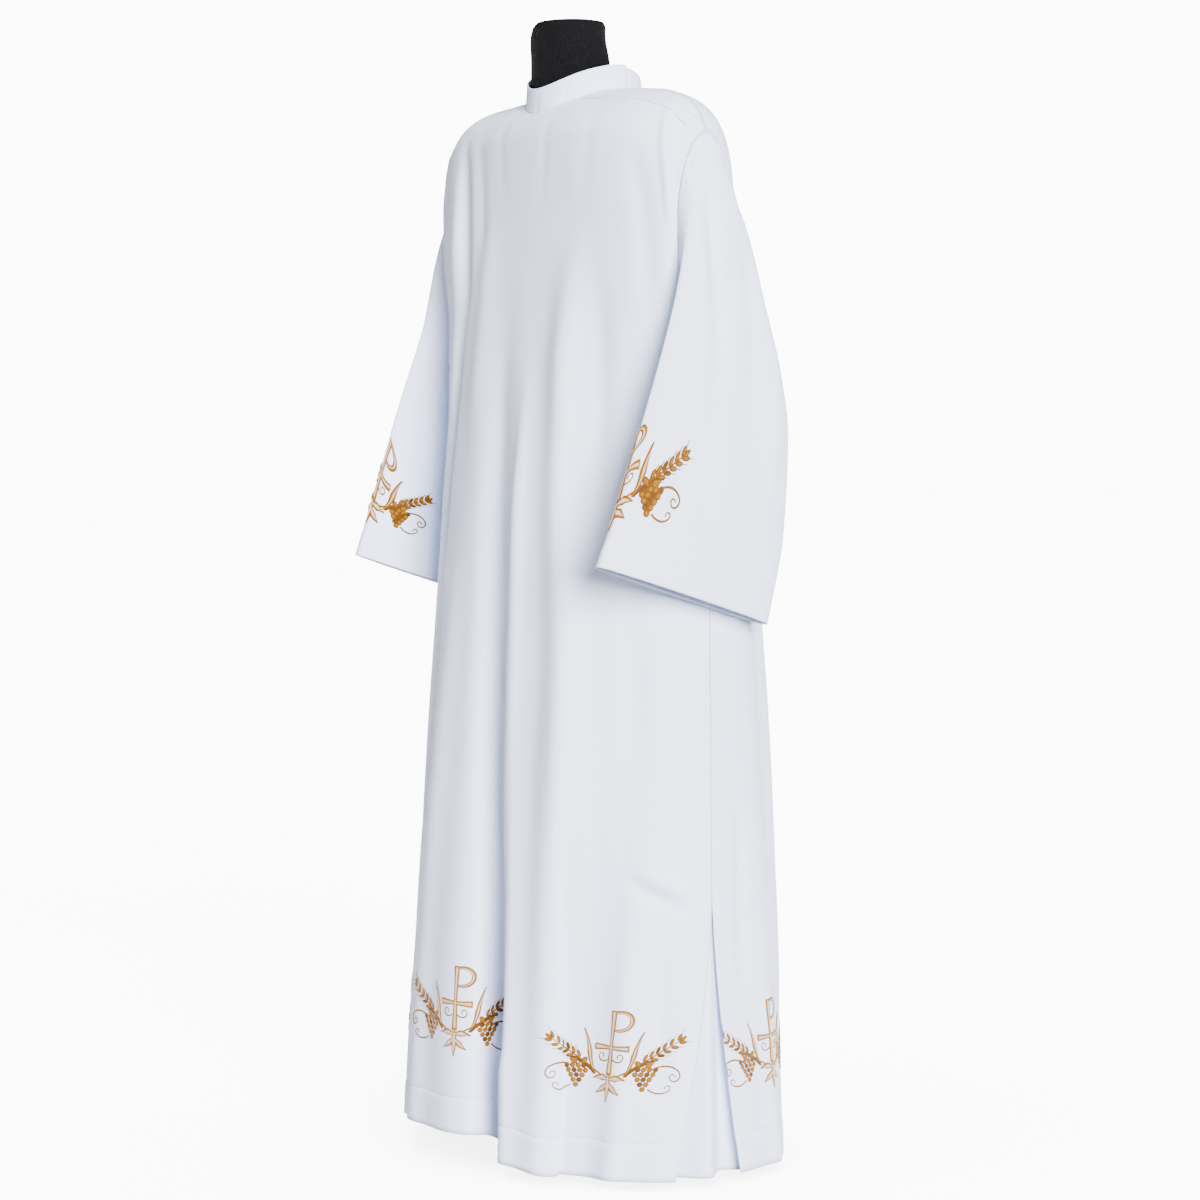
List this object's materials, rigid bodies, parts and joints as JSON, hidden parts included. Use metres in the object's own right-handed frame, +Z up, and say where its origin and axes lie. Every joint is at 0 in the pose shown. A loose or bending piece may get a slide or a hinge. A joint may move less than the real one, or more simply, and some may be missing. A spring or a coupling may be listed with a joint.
{
  "type": "alb robe on a dress form",
  "caption": "White ankle-length alb with a stand collar, bell sleeves and side pleats, embroidered above the hem and cuffs, on a limbless dress form.",
  "frame": {"origin": "centre of the base plate's underside, on the floor", "axes": "+Z up, the garment's front faces -Y, the wearer's left is +X"},
  "size_m": [0.6025, 0.4642, 1.565],
  "materials": {
    "cloth": "fine plain weave, soft sheen",
    "jersey": "black jersey, matt",
    "stand": "black powder coat, satin"
  },
  "bodies": {
    "root": {"alb_front": "cloth", "alb_back": "cloth", "sleeve_left": "cloth", "sleeve_right": "cloth", "collar_band": "cloth", "shoulder_placket": "cloth", "side_pleat_left": "cloth", "side_pleat_right": "cloth", "form_torso": "jersey", "stand_pole": "stand", "stand_base": "stand"}
  },
  "joints": []
}
